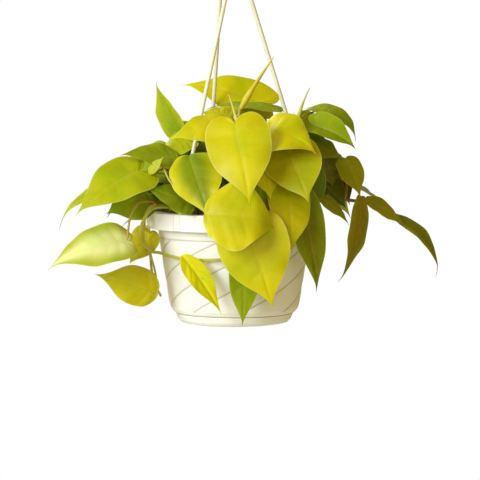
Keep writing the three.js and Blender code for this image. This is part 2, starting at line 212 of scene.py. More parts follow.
# The profile with extra points, so that no two lie further apart than spacing
def divided(profile, spacing):
    p = np.asarray(profile, float)
    run = runLength(p)
    even = np.arange(0, run[-1], spacing)
    return pointsAt(p, np.unique(np.round(np.concatenate([run, even]), 4)))


# Joins the parts into one mesh on the object's one body. It stands for the node of its name, if
# there is one, or for the nodes given
def addPiece(name, parts, material, nodes=(), flat=False, crease=None):
    starts = np.cumsum([0] + [len(part["points"]) for part in parts])
    faces = [(block + start).tolist() for part, start in zip(parts, starts) for block in part["faces"]]
    mesh = bpy.data.meshes.new(name)
    mesh.from_pydata(placed(np.vstack([part["points"] for part in parts])).tolist(), [], sum(faces, []))
    for key in ("marks", "hue"):
        values = np.vstack([part[key] for part in parts]).astype(np.float32)
        mesh.attributes.new(key, "FLOAT_VECTOR", "POINT").data.foreach_set("vector", values.ravel())
    mesh.polygons.foreach_set("use_smooth", np.full(len(mesh.polygons), not flat))
    if crease:
        mesh.set_sharp_from_angle(angle=radians(crease))
    mesh.materials.append(material)
    mesh.update()
    piece = bpy.data.objects.new(name, mesh)
    bpy.context.scene.collection.objects.link(piece)
    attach(piece, "root")
    nodes = nodes or [name] * (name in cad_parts)
    if nodes:
        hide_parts(*nodes)
    return piece


def link(tree, source, target):
    tree.links.new(source, target)


def feed(tree, socket, value):
    if isinstance(value, bpy.types.NodeSocket):
        link(tree, value, socket)
    else:
        socket.default_value = value


# A node whose sockets are set by name, or by number after an underscore
def node(tree, kind, **values):
    made = tree.nodes.new("ShaderNode" + kind)
    for key, value in values.items():
        if hasattr(made, key) and key not in made.inputs:
            setattr(made, key, value)
            continue
        feed(tree, made.inputs[int(key[1:]) if key[0] == "_" else key.replace("_", " ")], value)
    return made


def combine(tree, operation, a, b=0.0):
    return node(tree, "Math", operation=operation, _0=a, _1=b).outputs[0]


def times(tree, a, b):
    return combine(tree, "MULTIPLY", a, b)


# Colour a turning into colour b as share goes from 0 to 1
def blend(tree, share, a, b):
    mix = node(tree, "Mix", data_type="RGBA")
    for place, value in ((0, share), (6, a), (7, b)):
        feed(tree, mix.inputs[place], (*value, 1) if isinstance(value, tuple) else value)
    return mix.outputs[2]


# Colour a turned towards b where the mask is 1, by the share most
def tinted(tree, mask, a, b, most):
    return blend(tree, times(tree, mask, most), a, b)


def multiplied(tree, color, by):
    made = node(tree, "Mix", data_type="RGBA", blend_type="MULTIPLY", _0=1.0, _6=color, _7=(*by, 1))
    return made.outputs[2]


def setInputs(tree, shader, values):
    for name, value in values.items():
        feed(tree, shader.inputs[name], value)


# 0 below low and 1 above high, with a soft edge between them
def band(tree, value, low, high):
    return node(tree, "MapRange", interpolation_type="SMOOTHSTEP", Value=value, From_Min=low,
                From_Max=high).outputs[0]


def newGroup(name, **inputs):
    group = bpy.data.node_groups.new(name, "ShaderNodeTree")
    group.interface.new_socket("Vector", in_out="INPUT", socket_type="NodeSocketVector")
    for label, value in inputs.items():
        socket = group.interface.new_socket(label, in_out="INPUT", socket_type="NodeSocketFloat")
        socket.default_value = value
    group.interface.new_socket("Value", in_out="OUTPUT", socket_type="NodeSocketFloat")
    given = group.nodes.new("NodeGroupInput").outputs
    return group, given, group.nodes.new("NodeGroupOutput").inputs["Value"]


# Soft patches: noise stretched between Low and High
def makeMottle():
    group, given, out = newGroup("mottle", Scale=60.0, Low=0.35, High=0.65)
    noise = node(group, "TexNoise", Vector=given["Vector"], Scale=given["Scale"], Detail=3.0)
    made = node(group, "MapRange", interpolation_type="SMOOTHSTEP", Value=noise.outputs[0],
                From_Min=given["Low"], From_Max=given["High"])
    link(group, made.outputs[0], out)
    return group


# A few small round spots: near a cell's middle, in the share of cells that Rarity leaves
def makeSpecks():
    group, given, out = newGroup("specks", Scale=120.0, Size=0.12, Rarity=0.8)
    cells = node(group, "TexVoronoi", Vector=given["Vector"], Scale=given["Scale"])
    near = combine(group, "LESS_THAN", cells.outputs["Distance"], given["Size"])
    chosen = node(group, "SeparateColor", Color=cells.outputs["Color"]).outputs[0]
    rare = combine(group, "GREATER_THAN", chosen, given["Rarity"])
    link(group, times(group, near, rare), out)
    return group


# Fine unevenness of a surface, as a height
def makeGrain():
    group, given, out = newGroup("fineGrain", Scale=900.0, Waves=80.0)
    fine = node(group, "TexNoise", Vector=given["Vector"], Scale=given["Scale"], Detail=2.0)
    broad = node(group, "TexNoise", Vector=given["Vector"], Scale=given["Waves"], Detail=1.0)
    low = times(group, broad.outputs[0], 3.0)
    link(group, combine(group, "ADD", fine.outputs[0], low), out)
    return group


mottle, specks, fineGrain = makeMottle(), makeSpecks(), makeGrain()


# A material with its Principled shader, Object coordinates and the piece's own marks
def newMaterial(name, color):
    material = bpy.data.materials.new(name)
    material.use_nodes = True
    material.diffuse_color = (*color, 1)
    tree = material.node_tree
    shader = tree.nodes["Principled BSDF"]
    place = node(tree, "TexCoord").outputs["Object"]
    marks = node(tree, "Attribute", attribute_name="marks").outputs["Vector"]
    return material, tree, shader, place, node(tree, "SeparateXYZ", Vector=marks).outputs


def effect(tree, group, place, **values):
    return node(tree, "Group", node_tree=group, Vector=place, **values).outputs[0]


def finishSkin(tree, shader, color, rough, height, strength, distance, settings={}):
    bump = node(tree, "Bump", Height=height, Strength=strength, Distance=distance).outputs[0]
    setInputs(tree, shader, {"Base Color": color, "Roughness": rough, "Normal": bump, **settings})


# The margin colour paints a pale backlit glow along the leaf edges
leafLook = dict(veins=8, rough=0.4, marginGlow=(0.72, 0.7, 0.26), rib=(0.68, 0.66, 0.16),
                under=(0.46, 0.5, 0.1), speck=(0.12, 0.06, 0.01),
                greener=(0.7, 0.93, 0.5), duller=(0.88, 0.9, 0.8),
                settings={"Specular IOR Level": 0.28, "Subsurface Weight": 0.12,
                          "Subsurface Radius": (0.9, 0.8, 0.1), "Subsurface Scale": 0.002})


# Waxy leaf: its own hue, greener in soft patches, with a pale midrib and side veins, and a pale line
# along the margin that paints a backlit edge glow. A few hues paint shadow, and one a gloss highlight.
# marks hold the place across (-1 to 1), the place along (0 to 1) and 1 on the underside
def leafMaterial():
    material, tree, shader, place, marks = newMaterial("leafSkin", (0.55, 0.55, 0.05))
    hue = node(tree, "Attribute", attribute_name="hue").outputs["Color"]
    across = combine(tree, "ABSOLUTE", marks[0])
    patches = effect(tree, mottle, place, Scale=38.0, Low=0.4, High=0.72)
    color = tinted(tree, patches, hue, multiplied(tree, hue, leafLook["greener"]), most=0.6)
    fine = effect(tree, mottle, place, Scale=420.0, Low=0.3, High=0.8)
    color = tinted(tree, fine, color, multiplied(tree, color, leafLook["duller"]), most=0.2)

    turn = times(tree, marks[1], 2 * pi * leafLook["veins"])
    vein = band(tree, combine(tree, "COSINE", turn), low=0.93, high=1.0)
    inside = combine(tree, "SUBTRACT", 1.0, band(tree, across, low=0.55, high=0.95))
    vein = times(tree, vein, inside)
    rib = combine(tree, "SUBTRACT", 1.0, band(tree, across, low=0.01, high=0.045))
    # Painted highlight: a pale band along the margin stands for a backlit edge glow
    marginGlow = band(tree, across, low=0.95, high=0.99)
    spots = effect(tree, specks, place, Scale=85.0, Size=0.055, Rarity=0.86)
    color = tinted(tree, vein, color, leafLook["rib"], most=0.06)
    color = tinted(tree, rib, color, leafLook["rib"], most=0.14)
    color = tinted(tree, marginGlow, color, leafLook["marginGlow"], most=0.35)
    color = tinted(tree, marks[2], color, leafLook["under"], most=0.2)
    color = tinted(tree, spots, color, leafLook["speck"], most=0.6)

    sheen = effect(tree, mottle, place, Scale=130.0, Low=0.3, High=0.7)
    rough = combine(tree, "ADD", leafLook["rough"], times(tree, sheen, 0.1))
    rough = combine(tree, "ADD", rough, times(tree, marks[2], 0.14))  # duller below
    grain = effect(tree, fineGrain, place, Scale=1400.0, Waves=170.0)
    height = combine(tree, "SUBTRACT", grain, times(tree, vein, 1.2))
    swell = effect(tree, mottle, place, Scale=70.0, Low=0.15, High=0.85)
    height = combine(tree, "ADD", height, times(tree, swell, 14.0))
    finishSkin(tree, shader, color, rough, height, strength=0.08, distance=0.0002,
               settings=leafLook["settings"])
    return material


# Fleshy stem: its own hue, faint lengthwise streaks and small pale spots
def stemMaterial():
    material, tree, shader, place, marks = newMaterial("stemSkin", (0.45, 0.45, 0.08))
    hue = node(tree, "Attribute", attribute_name="hue").outputs["Color"]
    patches = effect(tree, mottle, place, Scale=110.0, Low=0.35, High=0.7)
    color = tinted(tree, patches, hue, (0.3, 0.24, 0.03), most=0.35)
    wave = combine(tree, "COSINE", times(tree, marks[0], 10 * pi))
    color = tinted(tree, band(tree, wave, low=0.2, high=1.0), color, (0.62, 0.6, 0.2), most=0.15)
    spots = effect(tree, specks, place, Scale=520.0, Size=0.16, Rarity=0.75)
    color = tinted(tree, spots, color, (0.6, 0.56, 0.3), most=0.3)
    rough = combine(tree, "ADD", 0.42, times(tree, patches, 0.12))
    grain = effect(tree, fineGrain, place, Scale=1800.0, Waves=400.0)
    finishSkin(tree, shader, color, rough, grain, strength=0.3, distance=0.0002)
    return material


plasticSettings = {"Subsurface Weight": 0.06, "Subsurface Radius": (1.0, 0.9, 0.6),
                   "Subsurface Scale": 0.003}


# Satin moulded plastic: painted shade, a warm brown, in the grooves and beside the ribs that marks
# name; grime dust and specks of the same brown; and faint patches
def plasticMaterial(name, color, grimeAndShade, rough):
    material, tree, shader, place, marks = newMaterial(name, color)
    patches = effect(tree, mottle, place, Scale=30.0, Low=0.35, High=0.75)
    tone = tinted(tree, patches, color, tuple(0.93 * c for c in color), most=0.22)
    dust = effect(tree, mottle, place, Scale=700.0, Low=0.55, High=0.8)
    tone = tinted(tree, dust, tone, grimeAndShade, most=0.12)
    # Painted shade: the grooves and the sides of the rim ribs are darkened towards the warm brown
    tone = tinted(tree, marks[2], tone, grimeAndShade, most=0.75)
    spots = effect(tree, specks, place, Scale=60.0, Size=0.03, Rarity=0.85)
    tone = tinted(tree, spots, tone, grimeAndShade, most=0.4)
    scuff = effect(tree, mottle, place, Scale=90.0, Low=0.3, High=0.75)
    dull = combine(tree, "ADD", rough, times(tree, scuff, 0.12))
    grain = effect(tree, fineGrain, place, Scale=1500.0, Waves=60.0)
    finishSkin(tree, shader, tone, dull, grain, strength=0.18, distance=0.0003,
               settings=plasticSettings)
    return material


# Damp potting mix: dark and lighter crumbs with a few pale grains
def mixMaterial():
    material, tree, shader, place = newMaterial("pottingMix", (0.06, 0.035, 0.02))[:4]
    crumbs = effect(tree, mottle, place, Scale=420.0, Low=0.35, High=0.65)
    color = blend(tree, crumbs, (0.025, 0.014, 0.008), (0.1, 0.055, 0.028))
    spots = effect(tree, specks, place, Scale=260.0, Size=0.22, Rarity=0.86)
    color = tinted(tree, spots, color, (0.42, 0.36, 0.26), most=0.7)
    rough = combine(tree, "SUBTRACT", 0.98, times(tree, crumbs, 0.2))
    grain = effect(tree, fineGrain, place, Scale=900.0, Waves=300.0)
    finishSkin(tree, shader, color, rough, grain, strength=0.9, distance=0.0012)
    return material


leafSkin, stemSkin = leafMaterial(), stemMaterial()
potPlastic = plasticMaterial("potPlastic", (0.89, 0.89, 0.88), grimeAndShade=(0.45, 0.37, 0.24), rough=0.36)
hangerPlastic = plasticMaterial("hangerPlastic", (0.8, 0.76, 0.62), grimeAndShade=(0.5, 0.42, 0.26), rough=0.34)
mixSkin = mixMaterial()
print("materials made")


pot = dict(height=101, rim=79, band=15, wall=1.8, lip=2, floor=9, sides=540,
           swirls=8, swirlRise=24.5, swirlShift=-0.4, topLine=77.3, footLine=9,
           grooveDepth=0.45, grooveWidth=0.75, pillow=0.35, slant=0.9, wallFoot=57.4, wallSlope=0.15,
           anchors=(-40, 80, 200), ribWidth=7, ribProud=0.6, ribEdge=0.4,
           spacing=0.62, rounding=1.1, innerStep=4, floorStep=8)


# Grooved lines climb the wall between two rings, and it swells a little between them. Three ribs
# stand on the rim band
def potRelief(turn, z, r):
    phase = z / pot["swirlRise"] - pot["swirls"] * turn / (2 * pi) + pot["swirlShift"]
    away = np.abs(phase - np.round(phase)) * pot["swirlRise"] * pot["slant"]
    top, base = pot["topLine"] - z, z - pot["footLine"]
    inside = smooth(top, -0.3, 0.3) * smooth(base, -0.3, 0.3)
    nearest = np.where(inside > 0.5, np.minimum(away, np.abs(top)), np.abs(top))
    groove = hump(nearest, pot["grooveWidth"])
    outer = (z > 9.5) & (z < 84) & (r > 55) & (r > pot["wallFoot"] + (z - 20) * pot["wallSlope"])
    swell = pot["pillow"] * smooth(nearest, 0, 7) * inside
    out = (swell - pot["grooveDepth"] * groove) * outer
    centred = np.radians(np.array(pot["anchors"]))[:, None, None]
    apart = np.abs((turn - centred + pi) % (2 * pi) - pi).min(axis=0) * pot["rim"]
    half, foot = pot["ribWidth"] / 2, pot["height"] - pot["band"]
    onBand = (r > pot["rim"] - 0.5) & (z > foot + 0.5) & (z < pot["height"] - 0.8)
    out = out + onBand * pot["ribProud"] * smooth(apart, half + pot["ribEdge"], half - pot["ribEdge"])
    # edge runs along both sides of each rib; with the grooves it marks where the plastic gets painted
    # shade
    edge = hump(apart - half, 0.6) * (r > pot["rim"] - 1) * (z > foot)
    return out, np.maximum(groove * outer, edge * 0.6)


def makePot():
    low, high = pot["height"] - pot["lip"], pot["height"]
    bandIn, bandFoot = pot["rim"] - pot["wall"], high - pot["band"]
    profile = [[0, pot["floor"]], [52, pot["floor"]], [54.9, 10.2], [57.2, 14], [58.6, 20],
               [68.8, 84], [69.8, low], [bandIn, low], [bandIn, bandFoot], [pot["rim"], bandFoot],
               [pot["rim"], high], [68, high], [67, 84], [56.8, 20],
               [55, 14.8], [52, 11.6], [49, 11], [0, 11]]
    fine = divided(rounded(profile, pot["rounding"]), pot["spacing"])
    keep = np.ones(len(fine), bool)  # fewer rows where the mix or the saucer hides them
    inner = np.arange(len(fine)) > np.argmax(fine[:, 1] > high - 0.05) + 30
    keep[inner] = np.arange(inner.sum()) % pot["innerStep"] == 0
    level = fine[:, 0] < 48
    keep[level] = np.arange(level.sum()) % pot["floorStep"] == 0
    keep[[0, -1]] = True
    addPiece("pot", [turned(fine[keep], pot["sides"], potRelief)], potPlastic)


saucer = dict(height=8.85, radius=53, wall=1.6, sides=240, rounding=0.7, spacing=1.2)


def makeSaucer():
    radius, height, inside = saucer["radius"], saucer["height"], saucer["wall"] + 0.1
    profile = [[0, 0.8], [20, 0.8], [21, 0], [43, 0], [47.9, 0.9], [50.6, 3.6], [radius, height],
               [radius - saucer["wall"], height], [48.6, 4.4], [46.6, 2.4], [44, inside],
               [22, inside], [20, 2.2], [0, 2.2]]
    fine = divided(rounded(profile, saucer["rounding"]), saucer["spacing"])
    addPiece("drip_saucer", [turned(fine, saucer["sides"])], potPlastic)


mix = dict(top=88, bottom=11.4, sides=220, rounding=1.5, spacing=1.6, crumb=0.25, lump=0.8,
           chips=150, chipSeed=4, chipCircle=62, chipSize=(1.8, 4.6))


# Crumbs: a sum of sine waves over the surface, strongest on the level top
def mixRelief(turn, z, r):
    x, y = r * np.sin(turn), r * np.cos(turn)
    wave = (np.sin(x * 0.9 + 1.7 * np.sin(y * 0.31)) * np.sin(y * 1.1 + 0.4)
            + 0.6 * np.sin(x * 2.3 + 2.0) * np.sin(y * 1.9 + x * 0.3))
    return mix["crumb"] * wave * smooth(r, 2, 12) * (z > 84), 0 * wave


def makeMix():
    profile = [[0, mix["bottom"]], [48.8, mix["bottom"]], [51.4, 12.4], [54.3, 15.2], [56.2, 20.4],
               [66.2, 83], [66.5, 86.5], [64, 87.4], [50, 88.2], [30, 88.6], [0, 89]]
    fine = divided(rounded(profile, mix["rounding"]), mix["spacing"])
    body = turned(fine, mix["sides"], mixRelief)
    x, y, z = body["points"].T
    lumps = (np.sin(x * 0.35 + np.sin(y * 0.22)) * np.cos(y * 0.41)
             + 0.7 * np.sin(x * 1.3 + 1) * np.sin(y * 1.5) + 0.5 * np.sin(x * 3.1) * np.cos(y * 2.7))
    z += mix["lump"] * lumps * (z > 85)
    addPiece("potting_mix", [body], mixSkin)


# A bark chip: a low rounded block whose corners are pushed about by a seeded draw
def chip(place, size, spin, seed):
    draw = np.random.default_rng(seed)
    height = np.array([-1, -0.9, 0, 0.9, 1])[:, None]
    turn = circle(7)[None] + 0 * height
    wide = np.array([0, 0.8, 1, 0.8, 0])[:, None] * draw.uniform(0.7, 1.15, (5, 7))
    x, y, z = wide * np.cos(turn) * size, wide * np.sin(turn) * size * 0.5, height * size * 0.22
    c, s = cos(spin), sin(spin)
    tilt = draw.uniform(-0.35, 0.35)
    rings = np.stack([x * c - y * s, x * s + y * c, z + tilt * x], axis=-1) + np.asarray(place, float)
    return loft(rings, (0, 0, 0), (0, 0, 0))


def makeChips():
    draw = np.random.default_rng(mix["chipSeed"])
    radius = mix["chipCircle"] * np.sqrt(draw.uniform(0.01, 1, mix["chips"]))
    turn = draw.uniform(0, 2 * pi, mix["chips"])
    size = draw.uniform(*mix["chipSize"], mix["chips"])
    parts = [chip((r * cos(a), r * sin(a), mix["top"] + 0.7 + 0.1 * s), s, 3 * a, i)
             for i, (r, a, s) in enumerate(zip(radius, turn, size))]
    addPiece("bark_chips", parts, mixSkin, flat=True)


makePot()
makeSaucer()
makeMix()
makeChips()
print("pot, saucer and potting mix made")


hanger = dict(anchorCircle=73.5, hubTurns=(30, 150, 270), hubCircle=7.5, hubRadius=12,
              hubThickness=3.5, hubHeight=336, shift=-2.5, strand=1.8, head=3.1, headHeight=2.5,
              gap=0.35, hole=2.15, collarAt=11, collarWidth=2.2, collar=0.2,
              wire=2.75, boss=2.2, bend=15, bendTurns=(-75, 206, 10), shank=12)


def around(reach, degrees, z, shift=0.0):
    turn = radians(degrees)
    return np.array([shift + reach * sin(turn), -reach * cos(turn), z])


# Each strand runs up through the lip, straight to the hub and up through its plate, and ends in
# a rounded head
def makeStrands():
    lead = hanger["gap"] + hanger["headHeight"]
    foot = pot["height"] - pot["lip"] - lead
    top = hanger["hubHeight"] + hanger["hubThickness"] + lead
    for number, (turn, hubTurn) in enumerate(zip(pot["anchors"], hanger["hubTurns"]), 1):
        low = around(hanger["anchorCircle"], turn, foot)
        high = around(hanger["hubCircle"], hubTurn, top, hanger["shift"])
        lip, hub = low.copy(), high.copy()
        lip[2], hub[2] = pot["height"] + 2, hanger["hubHeight"] - 2
        run = hub - lip
        step = run / np.linalg.norm(run)
        route = np.vstack([np.linspace(low, lip - [0, 0, 2], 8),
                           bezier(lip - [0, 0, 1.9], lip, lip, lip + 2.5 * step, 8),
                           np.linspace(lip + 3 * step, hub - 3 * step, 60),
                           bezier(hub - 2.5 * step, hub, hub, hub + [0, 0, 1.9], 8),
                           np.linspace(hub + [0, 0, 2], high, 8)])
        total = runLength(route)[-1]

        def thickness(s):
            ends = np.minimum(s, total - s)
            head = hanger["headHeight"]
            grown = hanger["head"] - hanger["strand"]
            collar = hanger["collar"] * hump(ends - hanger["collarAt"], hanger["collarWidth"])
            return hanger["strand"] + grown * (1 - smooth(ends, head - 0.5, head)) + collar

        strand = tube(route, thickness, (0, 0, 0), sides=20, spacing=0.7)
        addPiece(f"hanger_strand_{number}", [strand], hangerPlastic)


# Hub plate with a hole for each strand, and a wire that rises from a boss into an open bend
def makeHook():
    base, x, radius = hanger["hubHeight"], hanger["shift"], hanger["hubRadius"]
    top = base + hanger["hubThickness"]
    profile = [[0, base], [radius - 1, base], [radius, base + 0.8], [radius, top - 0.8],
               [radius - 0.8, top], [0, top]]
    plate = turned(divided(rounded(profile, 0.6), 1.5), 96, centre=(x, 0))
    piece = addPiece("hanger_hub", [plate], hangerPlastic, ["hanger_hook"])
    for turn in hanger["hubTurns"]:
        centre, wide = around(hanger["hubCircle"], turn, 0, x), hanger["hole"]
        rod = [[0, base - 2], [wide, base - 2], [wide, top + 2], [0, top + 2]]
        cutter = turned(rod, 24, centre=centre[:2])
        cutPiece = addPiece("cutter", [cutter], hangerPlastic)
        boolean = piece.modifiers.new("hole", "BOOLEAN")
        boolean.object, boolean.solver = cutPiece, "EXACT"
        bpy.context.view_layer.update()
        evaluated = piece.evaluated_get(bpy.context.evaluated_depsgraph_get())
        piece.data = bpy.data.meshes.new_from_object(evaluated)
        piece.modifiers.clear()
        bpy.data.objects.remove(cutPiece)
    bendFoot = top + hanger["shank"]
    bend, turn = hanger["bend"], np.radians(np.arange(*hanger["bendTurns"]))
    arc = np.stack([x + bend * np.cos(turn), 0 * turn, bendFoot + bend + bend * np.sin(turn)], axis=-1)
    route = smoothRoute(np.vstack([[x, 0, top - 0.6], [x, 0, bendFoot - 6], arc]), 12)
    total = runLength(route)[-1]

    def thickness(s):
        boss = hanger["boss"] * (1 - smooth(s, 0.2, 7))
        return hanger["wire"] + boss + 0.5 * hump(total - s - 3, 2.5)

    hook = tube(route, thickness, (0, 0, 0), sides=28, spacing=1.0)
    addPiece("hanger_wire_hook", [hook], hangerPlastic)


makeStrands()
makeHook()
print("hanger made")


hues = dict(bright=(0.74, 0.68, 0.002), lime=(0.62, 0.56, 0.001), yellow=(0.54, 0.49, 0.001),
            ochre=(0.42, 0.39, 0.001), fresh=(0.4, 0.43, 0.001), green=(0.28, 0.36, 0.001),
            shade=(0.21, 0.27, 0.001), dark=(0.14, 0.21, 0.001), olive=(0.27, 0.26, 0.001),
            # The whitish pale hue below paints gloss highlights on one leaf
            brown=(0.26, 0.185, 0.001), paleHighlight=(0.78, 0.8, 0.34), deep=(0.1, 0.12, 0.001),
            # a dark olive that paints shadow on the leaves in shade at the lower right
            shadowed=(0.18, 0.18, 0.001))
blade = dict(rows=60, columns=11, thickness=0.55, halfWide=0.446, arch=0.03, notch=1, wedge=0.22,
             ribDepth=0.5, ribWidth=1.5, veinDepth=0.16, wave=0.9, crease=0.55, broad=(1.3, 0.5),
             twist=6, hook=0.035, curl=0.008, fold=0, cup=0, blunt=0, tipBend=0, sway=0, onTop=False,
             seed=100)


# Half of a heart: two Bezier arcs from the base round the lobe to the tip, by length
def heartOutline(t):
    lobe = bezier((0, 0), (0.06, -0.24), (0.46, -0.2), (0.44, 0.2), 300)
    flank = bezier((0.44, 0.2), (0.44, 0.64), (0.03, 0.74), (0, 1), 300)
    line = np.vstack([lobe, flank[1:]])
    return pointsAt(line, t * runLength(line)[-1])


# A blade on its own axes, x across, y from base to tip, z the way it faces. Each row leaves the
# midrib nearer the base than it meets the outline, like a side vein. The midrib arches, the halves
# fold and cup, the veins are sunk, and the margin waves
def bladePoints(length, width, shape, seed):
    form = {**blade, **shape}
    draw = np.random.default_rng(seed)
    rows, columns = blade["rows"], blade["columns"]
    t = np.linspace(0, 1, rows + 1)[:, None]
    edge = heartOutline(t[:, 0])
    x, y = edge[:, :1], edge[:, 1:]
    filled = form["wedge"] * (1 - form["notch"]) * (x / blade["halfWide"]) ** 2
    y = np.where(y < 0, y * form["notch"], y) + filled * (1 - np.maximum(y, 0))
    x = x + form["blunt"] * 4 * np.maximum(0, y) ** 2 * (1 - y)
    there = np.linspace(-1, 1, 2 * columns + 1)
    ringShare = np.concatenate([there, there[::-1][1:-1]])[None]
    skin = np.concatenate([np.ones(2 * columns + 1), -np.ones(2 * columns - 1)])[None]
    share, side = np.abs(ringShare), np.sign(ringShare)
    across = side * share * x * width / (2 * blade["halfWide"])
    b = t ** 2.2 * (1 - share) + y * share
    past = np.maximum(0, (b - 0.7) / 0.3)
    hookPast = np.maximum(0, (b - 0.86) / 0.14)
    phases = draw.uniform(0, 2 * pi, 6)
    size, wholeTurn, fold = width / 50, 2 * pi, radians(form["fold"])
    tipFade = 1 - smooth(t, 0.7, 1)

    rise = form["arch"] * 4 * b * (1 - b) + form["tipBend"] * past ** 2 - form["hook"] * hookPast ** 2
    slope = form["arch"] * 4 * (1 - 2 * b) + form["tipBend"] * 2 * past / 0.3
    lift = np.abs(across) * sin(fold) + form["cup"] * across ** 2 * 2 / width
    fade = smooth(t, 0.02, 0.12) * (1 - smooth(t, 0.75, 0.95))
    quilt = -form["veinDepth"] * fade * (0.5 + 0.5 * np.cos(wholeTurn * leafLook["veins"] * t)) ** 2
    quilt = quilt * (0.5 + 1.5 * np.sin(4.5 * t + phases[0]) ** 2)
    lift = lift + quilt * smooth(share, 0.03, 0.25) * (1 - smooth(share, 0.7, 1))
    creases = np.sin(wholeTurn * 3.3 * t + phases[4]) * hump(t - 0.25, 0.2)
    lift = lift + form["crease"] * size * creases * np.sin(pi * share)
    lift = lift - form["ribDepth"] * hump(across, form["ribWidth"]) * (1 - smooth(b, 0.7, 1))
    ripple = (np.sin(wholeTurn * 2.2 * t + phases[0] + side * phases[1])
              + 0.6 * np.sin(wholeTurn * 4.3 * t + phases[2] - side * phases[3]))
    lift = lift + form["wave"] * size * share ** 3 * ripple * smooth(t, 0, 0.15) * tipFade
    lift = lift - form["curl"] * width * share ** 4 * (1 - smooth(t, 0.6, 1))
    wide, narrow = form["broad"]
    swell = wide * size * np.sin(b * 4 + phases[4]) * np.sin(across / width * 5 + phases[5]) * share
    swell = swell + narrow * size * np.sin(b * 11 + phases[2]) * np.cos(across / width * 8 + phases[3])
    lift = lift + swell * smooth(t, 0, 0.2) * tipFade
    spin = radians(form["twist"]) * draw.uniform(-1, 1) * (b - 0.4)
    half = skin * blade["thickness"] * np.sqrt(np.clip(1 - share ** 2, 0, 1)) / 2
    lift = lift + across * spin + half

    steep = np.hypot(1, slope)
    middleX = across * cos(fold) + form["sway"] * length * np.clip(b, 0, 1) ** 2
    on, up = b * length - slope / steep * lift, rise * length + lift / steep
    points = np.stack([middleX, on, up], axis=-1)
    under = ((skin < 0) & (share < 0.999)).astype(float)
    marks = np.stack(np.broadcast_arrays(ringShare, t, under), axis=-1)
    return points, marks


vines = {}
leafPieces = []
petiole = dict(radius=0.95, sheath=0.75, neck=0.25, knee=0.15, hue=(0.5, 0.47, 0.06),
               below=0.9, inside=1.5)
stem = dict(radius=1.8, hue=(0.36, 0.36, 0.05), node=(0.34, 0.15, 0.01), nodeTint=0.7,
            taper=0.2, nodeSwell=0.4)
spindle = ([0, 0.05, 0.2, 0.4, 0.65, 0.9, 1], [0.5, 0.7, 1, 0.66, 0.42, 0.26, 0.08])


def vine(name, route, spikes=(), hue=None, radius=None):
    route = smoothRoute(route)
    vines[name] = dict(route=route, nodes=[], parts=[], hue=hue or stem["hue"],
                       radius=radius or stem["radius"])
    for spike in spikes:
        addSpike(name, *spike)


# A rolled young leaf: a slim spindle, widest a fifth of the way up
def addSpike(name, base, tip, radius, hue, lean=(0, 0, 0)):
    base, tip = np.array(base, float), np.array(tip, float)
    middle = (base + tip) / 2 + lean
    route = bezier(base, base + (middle - base) * 0.7, middle + (tip - middle) * 0.3, tip, 60)
    total = runLength(route)[-1]

    def thickness(s):
        return radius * np.interp(np.clip(s / total, 0, 1), *spindle)

    vines[name]["parts"].append(tube(route, thickness, hue, sides=20, spacing=1.0))


# A leaf from its base, its tip, the way it faces and its width, and the petiole that joins it to
# its vine at a share of the vine's length. via lists points that the petiole passes
def leaf(vineName, at, baseAt, tipAt, face, width, hue, petioleHue=None, **shape):
    grown = vines[vineName]
    base, tip = np.array(baseAt, float), np.array(tipAt, float)
    length = np.linalg.norm(tip - base)
    along = (tip - base) / length
    up = np.array(face, float)
    up = unit(up - along * (up @ along))
    across = np.cross(along, up)
    number = len(leafPieces) + 1
    points, marks = bladePoints(length, width, shape, blade["seed"] + number)
    points = base + points @ np.stack([across, along, up])
    color = np.array(hues[hue])
    if "edge" in shape:
        share = smooth(np.abs(marks[..., :1]), 0.25, 1)
        color = color + (np.array(hues[shape["edge"]]) - color) * share
    skin = loft(points, marks, color)
    leafPieces.append(addPiece(f"leaf_{number:02d}", [skin], leafSkin, crease=50))

    slope = 4 * shape.get("arch", blade["arch"])
    baseAlong, baseUp = unit(along + up * slope), unit(up - along * slope)
    side = 1 if shape.get("onTop") else -1
    stalk, run = grown["route"], runLength(grown["route"])[-1]
    start, on = pointsAt(stalk, at * run), min(at + 0.01, 1)
    ahead = unit(pointsAt(stalk, on * run) - pointsAt(stalk, (on - 0.02) * run))
    end = base + baseUp * side * petiole["below"] + baseAlong * petiole["inside"]
    distance = np.linalg.norm(end - start)
    if "via" in shape:
        route = smoothRoute([start, *shape["via"], end])
    else:
        route = bezier(start, start + ahead * 0.35 * distance,
                       end - baseUp * 0.3 * distance - baseAlong * 0.2 * distance, end, 80)
    total = runLength(route)[-1]

    def thickness(s):
        sheath = petiole["sheath"] * (1 - smooth(s, 2, 0.22 * total))
        neck = petiole["neck"] * smooth(s, total - 6, total)
        knee = petiole["knee"] * hump(total - s - 6, 4)
        return petiole["radius"] + sheath - neck + knee

    grown["nodes"].append(at)
    grown["parts"].append(tube(route, thickness, petioleHue or petiole["hue"], sides=10, spacing=1.6))


# Each vine's stem, with a swollen, tinted ring at every leaf, joined with what grows on it
def finishVines():
    for name, grown in vines.items():
        total = runLength(grown["route"])[-1]
        places = np.array([min(max(at, 0.02), 0.98) for at in grown["nodes"]]) * total

        def thickness(s):
            swell = hump(s[:, None] - places[None], 1.6).max(axis=1)
            return grown["radius"] * (1 - stem["taper"] * s / total) + stem["nodeSwell"] * swell

        def tint(share):
            near = hump(share[:, None] * total - places[None], 2.2).max(axis=1)[:, None]
            near = stem["nodeTint"] * near
            return np.array(grown["hue"]) * (1 - near) + np.array(stem["node"]) * near

        parts = [tube(grown["route"], thickness, tint, sides=14, spacing=0.9)] + grown["parts"]
        addPiece(f"vine_{name}", parts, stemSkin)


